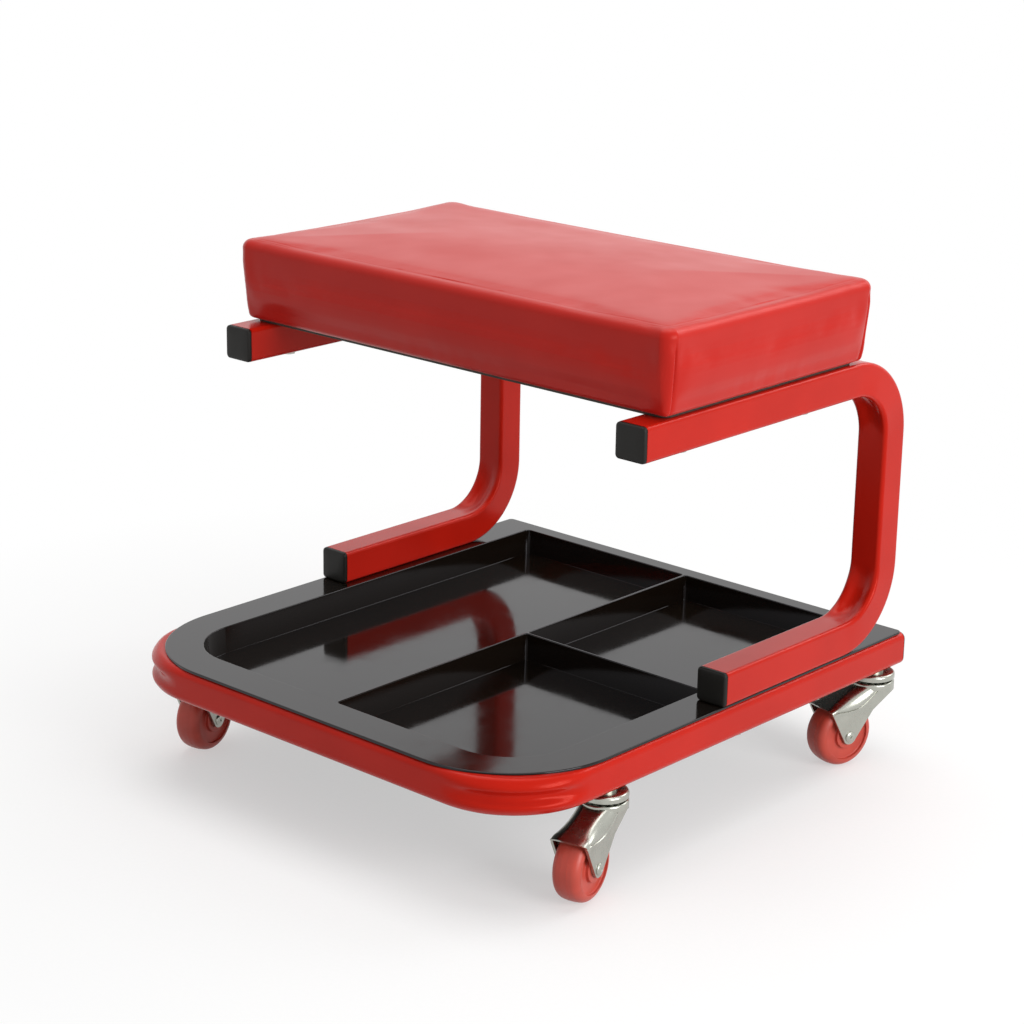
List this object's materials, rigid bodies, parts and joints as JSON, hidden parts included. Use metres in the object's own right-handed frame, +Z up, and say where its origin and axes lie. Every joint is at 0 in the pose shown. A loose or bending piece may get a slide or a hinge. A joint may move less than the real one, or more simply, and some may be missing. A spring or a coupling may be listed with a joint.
{
  "type": "creeper seat",
  "caption": "Rolling workshop seat: padded vinyl seat on C-shaped tube frames over a tool tray base with swivel casters.",
  "frame": {"origin": "on the floor under the centre of the part's box", "axes": "+X to the right side, +Y to the rear where the posts stand, +Z up"},
  "size_m": [0.4248, 0.435, 0.382],
  "materials": {
    "red_enamel": "gloss red enamel on steel tube",
    "black_cap_plastic": "moulded black polyethylene",
    "black_tray_plastic": "glossy moulded black",
    "zinc_plated_steel": "bright zinc plate",
    "bearing_steel": "polished",
    "seat_board_wood": "dark stained plywood",
    "red_vinyl": "smooth upholstery vinyl",
    "polyurethane": "cast orange-red polyurethane"
  },
  "bodies": {
    "root": {"base_frame": "red_enamel", "left_rail_plug": "black_cap_plastic", "right_rail_plug": "black_cap_plastic", "tray": "black_tray_plastic", "left_side_frame": "red_enamel", "right_side_frame": "red_enamel", "left_upper_cap": "black_cap_plastic", "right_upper_cap": "black_cap_plastic", "left_lower_cap": "black_cap_plastic", "right_lower_cap": "black_cap_plastic", "frame_bolts": "zinc_plated_steel", "frame_washers": "zinc_plated_steel", "frame_nuts": "zinc_plated_steel", "seat_board": "seat_board_wood", "seat_cushion": "red_vinyl", "seat_bolts": "zinc_plated_steel", "seat_washers": "zinc_plated_steel", "seat_tee_nuts": "zinc_plated_steel", "stem_nuts": "zinc_plated_steel", "front_left_stem": "zinc_plated_steel", "front_right_stem": "zinc_plated_steel", "rear_left_stem": "zinc_plated_steel", "rear_right_stem": "zinc_plated_steel", "front_left_race": "zinc_plated_steel", "front_right_race": "zinc_plated_steel", "rear_left_race": "zinc_plated_steel", "rear_right_race": "zinc_plated_steel", "front_left_balls": "bearing_steel", "front_right_balls": "bearing_steel", "rear_left_balls": "bearing_steel", "rear_right_balls": "bearing_steel"},
    "front_left_fork_body": {"front_left_fork": "zinc_plated_steel", "front_left_axle": "zinc_plated_steel", "front_left_axle_nut": "zinc_plated_steel", "front_left_sleeve": "bearing_steel"},
    "front_left_wheel_body": {"front_left_wheel": "polyurethane"},
    "front_right_fork_body": {"front_right_fork": "zinc_plated_steel", "front_right_axle": "zinc_plated_steel", "front_right_axle_nut": "zinc_plated_steel", "front_right_sleeve": "bearing_steel"},
    "front_right_wheel_body": {"front_right_wheel": "polyurethane"},
    "rear_left_fork_body": {"rear_left_fork": "zinc_plated_steel", "rear_left_axle": "zinc_plated_steel", "rear_left_axle_nut": "zinc_plated_steel", "rear_left_sleeve": "bearing_steel"},
    "rear_left_wheel_body": {"rear_left_wheel": "polyurethane"},
    "rear_right_fork_body": {"rear_right_fork": "zinc_plated_steel", "rear_right_axle": "zinc_plated_steel", "rear_right_axle_nut": "zinc_plated_steel", "rear_right_sleeve": "bearing_steel"},
    "rear_right_wheel_body": {"rear_right_wheel": "polyurethane"}
  },
  "joints": [
    {"name": "front_left_swivel", "type": "hinge", "parent": "root", "child": "front_left_fork_body", "pos_m": [-0.1875, -0.1185, 0.0612], "axis": [0, 0, 1], "continuous": true},
    {"name": "front_right_swivel", "type": "hinge", "parent": "root", "child": "front_right_fork_body", "pos_m": [0.1875, -0.1185, 0.0612], "axis": [0, 0, 1], "continuous": true},
    {"name": "rear_left_swivel", "type": "hinge", "parent": "root", "child": "rear_left_fork_body", "pos_m": [-0.1875, 0.1935, 0.0612], "axis": [0, 0, 1], "continuous": true},
    {"name": "rear_right_swivel", "type": "hinge", "parent": "root", "child": "rear_right_fork_body", "pos_m": [0.1875, 0.1935, 0.0612], "axis": [0, 0, 1], "continuous": true},
    {"name": "front_left_roll", "type": "hinge", "parent": "front_left_fork_body", "child": "front_left_wheel_body", "pos_m": [-0.18126, -0.14784, 0.025], "axis": [0.9781, 0.2079, 0], "continuous": true},
    {"name": "front_right_roll", "type": "hinge", "parent": "front_right_fork_body", "child": "front_right_wheel_body", "pos_m": [0.19374, -0.14784, 0.025], "axis": [0.9781, 0.2079, 0], "continuous": true},
    {"name": "rear_left_roll", "type": "hinge", "parent": "rear_left_fork_body", "child": "rear_left_wheel_body", "pos_m": [-0.19374, 0.16416, 0.025], "axis": [0.9781, -0.2079, 0], "continuous": true},
    {"name": "rear_right_roll", "type": "hinge", "parent": "rear_right_fork_body", "child": "rear_right_wheel_body", "pos_m": [0.17974, 0.16452, 0.025], "axis": [0.9659, -0.2588, 0], "continuous": true}
  ]
}
